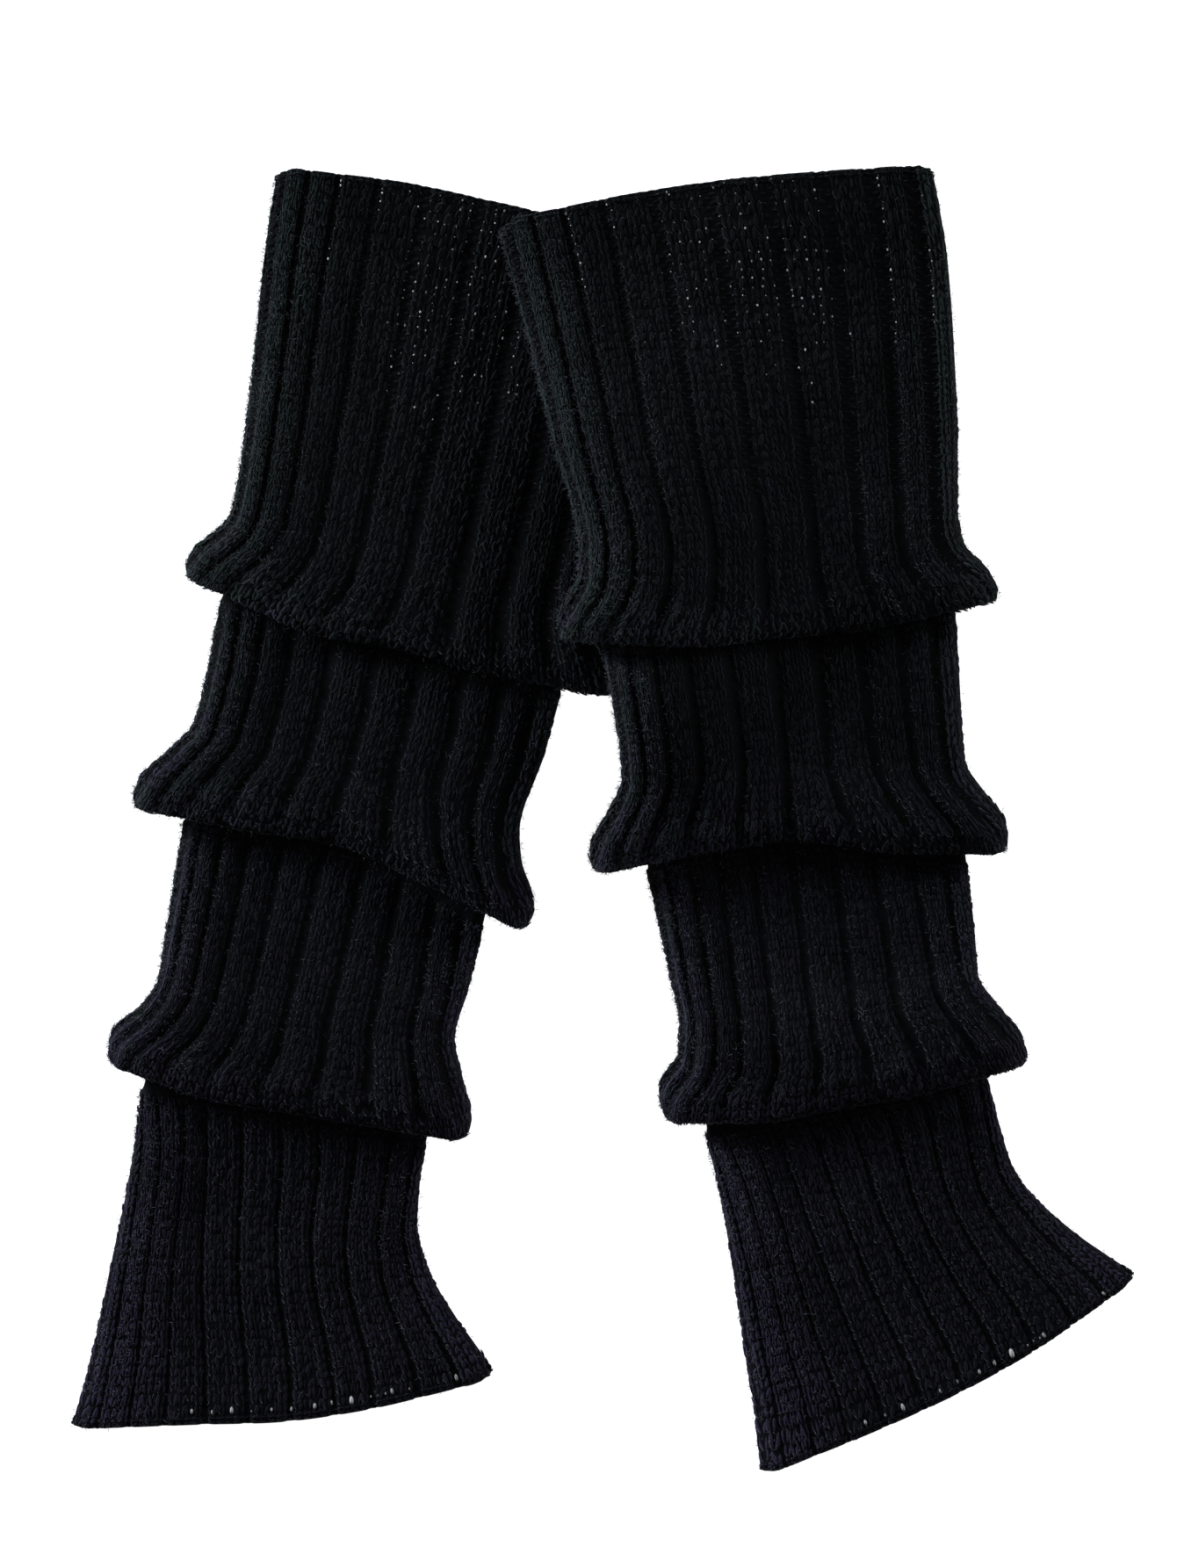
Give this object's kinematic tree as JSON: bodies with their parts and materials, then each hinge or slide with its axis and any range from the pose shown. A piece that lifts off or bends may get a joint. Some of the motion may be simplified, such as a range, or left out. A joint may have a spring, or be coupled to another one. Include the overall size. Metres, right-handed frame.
{
  "type": "pair of footless rib-knit leg warmers",
  "caption": "Footless rib-knit leg warmers slouched into overhanging tiers above flared hems, laid flat, with the right top band lying over the left.",
  "frame": {"origin": "middle of the pair's plan outline, on the surface that it lies on", "axes": "+X to the viewer's right, +Y up the legs towards the top bands, +Z off the surface"},
  "size_m": [0.3618, 0.4452, 0.0309],
  "materials": {
    "rib_knit": "matte, slightly fuzzy near-black yarn in a wide rib"
  },
  "bodies": {
    "root": {"left_leg_warmer": "rib_knit", "right_leg_warmer": "rib_knit"}
  },
  "joints": []
}
